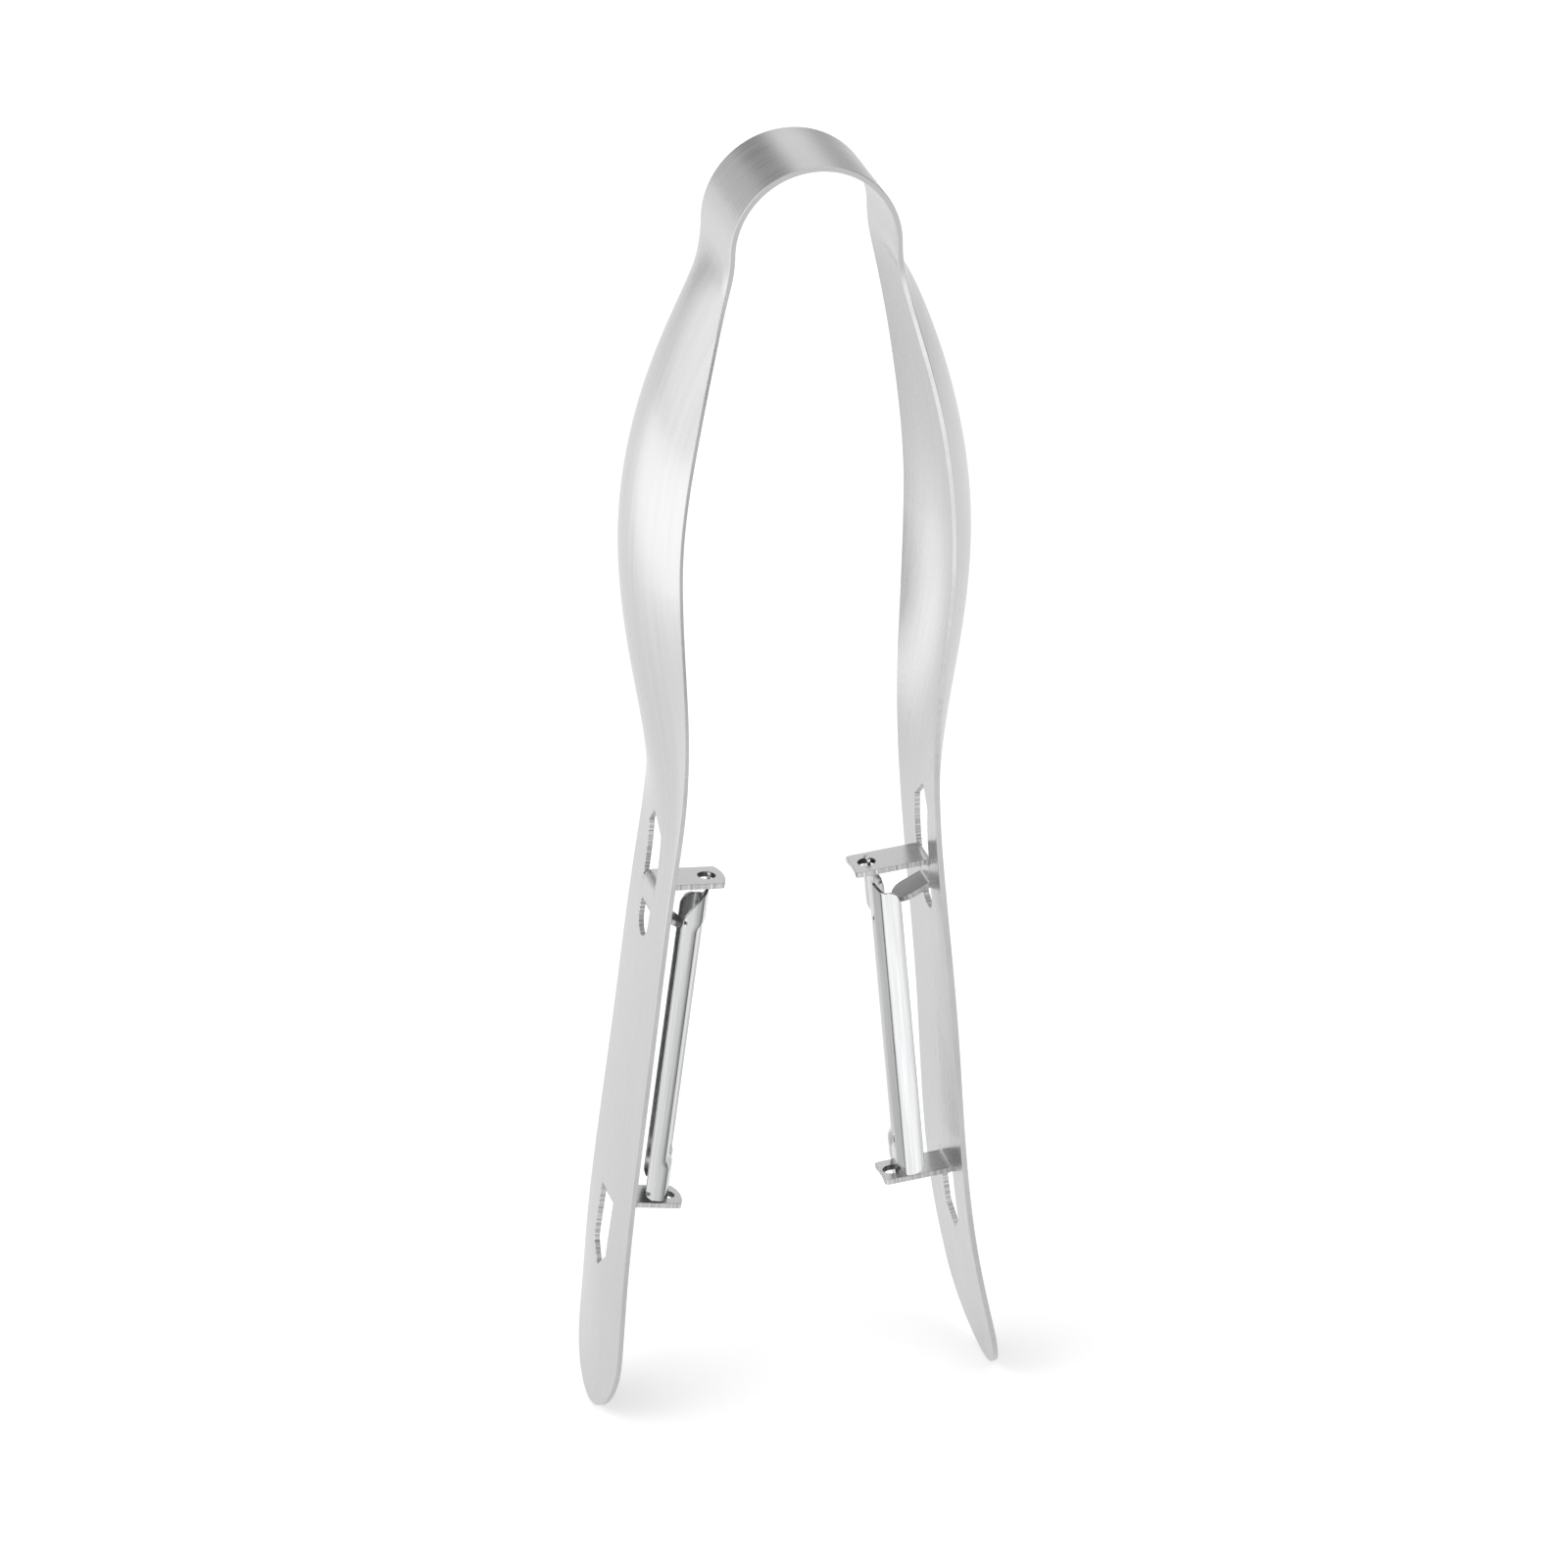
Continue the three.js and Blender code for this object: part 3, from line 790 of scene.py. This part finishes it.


# ---------------------------------------------------------------- build the object

# Painted shade and painted highlights in bands along a blade: [millimetres across, tone]. The flanges
# lie outside 5 mm.
STRIPE_REACH = 8
PAINTED_LIGHT_BANDS = [
    [-7, 0.95], [-5.9, 0.8], [-5.0, 0.66], [-4.4, 0.38], [-3.8, 0.8], [-3.1, 0.75], [-2.4, 0.55],
    [-0.3, 0.48], [0.3, 0.9], [1.4, 0.95],
    [2.0, 0.6], [3.9, 0.62], [4.5, 1.2], [6.6, 1.2], [7, 0.85],
]
strip_steel = steel(
    "strip_steel", (0.525, 0.525, 0.53), roughness=0.26, spread=0.05, grain=9000, bump=0.000012,
    anisotropy=0.7, contrast=0.08,
)
blade_steel = steel(
    "blade_steel", (0.7, 0.705, 0.71), roughness=0.15, spread=0.05, grain=6000, bump=0.000008,
    anisotropy=0.3, contrast=0.3, painted_bands=PAINTED_LIGHT_BANDS,
)
edge_steel = steel(
    "edge_steel", (0.46, 0.46, 0.465), roughness=0.22, spread=0.04, grain=9000, bump=0.000006,
    anisotropy=0.3, contrast=0.15,
)
torn = torn_steel("sheared_edge", 0.3, 0.72)
# Near black walls of the pivot holes: painted shade in the holes, over the ribbed sheared edge
bore = torn_steel("pivot_bore_shade", 0.06, 0.3)

for side, word in ((RIGHT, "right"), (LEFT, "left")):
    pivot = pivots[f"{word}_blade_swivel"]
    strip = make_strip(side, f"strip_{word}", pivot)
    for material in (strip_steel, torn, edge_steel, bore):  # FACE, TORN, EDGE, BORE
        strip.data.materials.append(material)
    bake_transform(strip)
    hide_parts(f"{word}_arm", "spring_bow")
    blade = make_blade(side, f"peeler_{word}", pivot)
    for material in (blade_steel, torn, blade_steel):  # FACE, TORN, EDGE
        blade.data.materials.append(material)
    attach(blade, f"{word}_blade")
    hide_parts(f"{word}_blade")

# ---------------------------------------------------------------- floor, light, camera


FLOOR_REACH = 10.0
FLOOR_WHITE = 0.86
FLOOR_GLOW = 0.3

# A wide pool of light on the floor, with a soft edge. All in metres.
POOL_CENTRE = (-3.0, -0.9, 0)
POOL_RADIUS = 2.89
POOL_EDGE = 0.11
POOL_GLOW = 0.65

# Soft panels of light stand around this point.
MIDDLE = Vector((0, 0, 0.1))

# Studio walls, and soft patches on them: [azimuth, elevation, reach in degrees, edge, added strength].
WALL = 0.82
PATCHES = [
    [-98, 12, 42, 34, 0.7],
    [100, 0, 44, 26, -0.5],
    [-158, 9, 20, 12, -0.38],
    [-170, 27, 9, 7, -0.3],
    [166, 26, 10, 7, 0.4],
]

CAMERA_AZIMUTH = -14.98
CAMERA_ELEVATION = 23.92
CAMERA_ROLL = -0.52
CAMERA_DISTANCE = 1.512
CAMERA_TARGET = Vector((-0.00196, 0, 0.10437)) + FRAME_SHIFT
LENS = 222.3


def make_floor():
    mesh = bpy.data.meshes.new("floor")
    size = FLOOR_REACH
    corners = [(-size, -size, 0), (size, -size, 0), (size, size, 0), (-size, size, 0)]
    mesh.from_pydata(corners, [], [(0, 1, 2, 3)])
    floor = bpy.data.objects.new("floor", mesh)
    bpy.context.scene.collection.objects.link(floor)
    material, make = new_material("floor_white")
    position = make.add("ShaderNodeNewGeometry").outputs["Position"]
    far = make.add(
        "ShaderNodeVectorMath", {0: position, 1: POOL_CENTRE}, operation="DISTANCE"
    ).outputs["Value"]
    inner, outer = POOL_RADIUS - POOL_EDGE, POOL_RADIUS + POOL_EDGE
    pool = make.remap(far, inner, outer, POOL_GLOW, 0.0, interpolation_type="SMOOTHSTEP")
    shader = make.add(
        "ShaderNodeBsdfPrincipled",
        {
            "Base Color": (FLOOR_WHITE, FLOOR_WHITE, FLOOR_WHITE, 1), "Roughness": 0.9,
            "Specular IOR Level": 0.0, "Emission Color": (1, 1, 1, 1),
            "Emission Strength": make.calc("ADD", FLOOR_GLOW, pool),
        },
    )
    make.add("ShaderNodeOutputMaterial", {"Surface": shader.outputs["BSDF"]})
    mesh.materials.append(material)


def aim(azimuth, elevation):
    """Direction from the object. Azimuth 0 is in front of it, 90 on its right."""
    a, e = math.radians(azimuth), math.radians(elevation)
    return Vector((math.sin(a) * math.cos(e), -math.cos(a) * math.cos(e), math.sin(e)))


def make_light(name, azimuth, elevation, distance, size, power):
    """Soft panel that faces the object."""
    back = aim(azimuth, elevation)
    light = bpy.data.lights.new(name, "AREA")
    light.shape = "RECTANGLE"
    light.size, light.size_y = size
    light.energy = power
    panel = bpy.data.objects.new(name, light)
    panel.location = MIDDLE + back * distance
    panel.rotation_mode = "QUATERNION"
    panel.rotation_quaternion = back.to_track_quat("Z", "Y")
    bpy.context.scene.collection.objects.link(panel)


def make_world():
    world = bpy.data.worlds.new("studio")
    bpy.context.scene.world = world
    world.use_nodes = True
    make = Nodes(world.node_tree)
    direction = make.add("ShaderNodeTexCoord").outputs["Generated"]
    strength = WALL
    for azimuth, elevation, reach, edge, added in PATCHES:
        facing = make.add(
            "ShaderNodeVectorMath", {0: direction, 1: aim(azimuth, elevation)}, operation="DOT_PRODUCT"
        ).outputs["Value"]
        outer, inner = (math.cos(math.radians(v)) for v in (reach + edge, reach - edge))
        patch = make.remap(facing, outer, inner, 0.0, added, interpolation_type="SMOOTHSTEP")
        strength = make.calc("ADD", strength, patch)
    background = make.add("ShaderNodeBackground", {"Color": (1, 1, 1, 1), "Strength": strength})
    make.add("ShaderNodeOutputWorld", {"Surface": background.outputs[0]})


def make_camera():
    """Long lens from the left, a little above."""
    azimuth, roll = math.radians(CAMERA_AZIMUTH), math.radians(CAMERA_ROLL)
    back = aim(CAMERA_AZIMUTH, CAMERA_ELEVATION)
    level = Vector((math.cos(azimuth), math.sin(azimuth), 0))
    up = back.cross(level)
    right = level * math.cos(roll) - up * math.sin(roll)
    camera = bpy.data.objects.new("camera", bpy.data.cameras.new("camera"))
    camera.data.sensor_width = 36
    camera.data.lens = LENS
    camera.data.clip_end = 100
    axes = Matrix((right, back.cross(right), back)).transposed().to_4x4()
    camera.matrix_world = Matrix.Translation(CAMERA_TARGET + back * CAMERA_DISTANCE) @ axes
    bpy.context.scene.collection.objects.link(camera)
    bpy.context.scene.camera = camera


make_floor()
make_world()
make_light("key", azimuth=-70, elevation=35, distance=1.6, size=(0.8, 0.8), power=3)
make_light("front", azimuth=20, elevation=45, distance=1.6, size=(0.8, 0.5), power=2)
make_camera()
bpy.context.scene.view_settings.view_transform = "Standard"
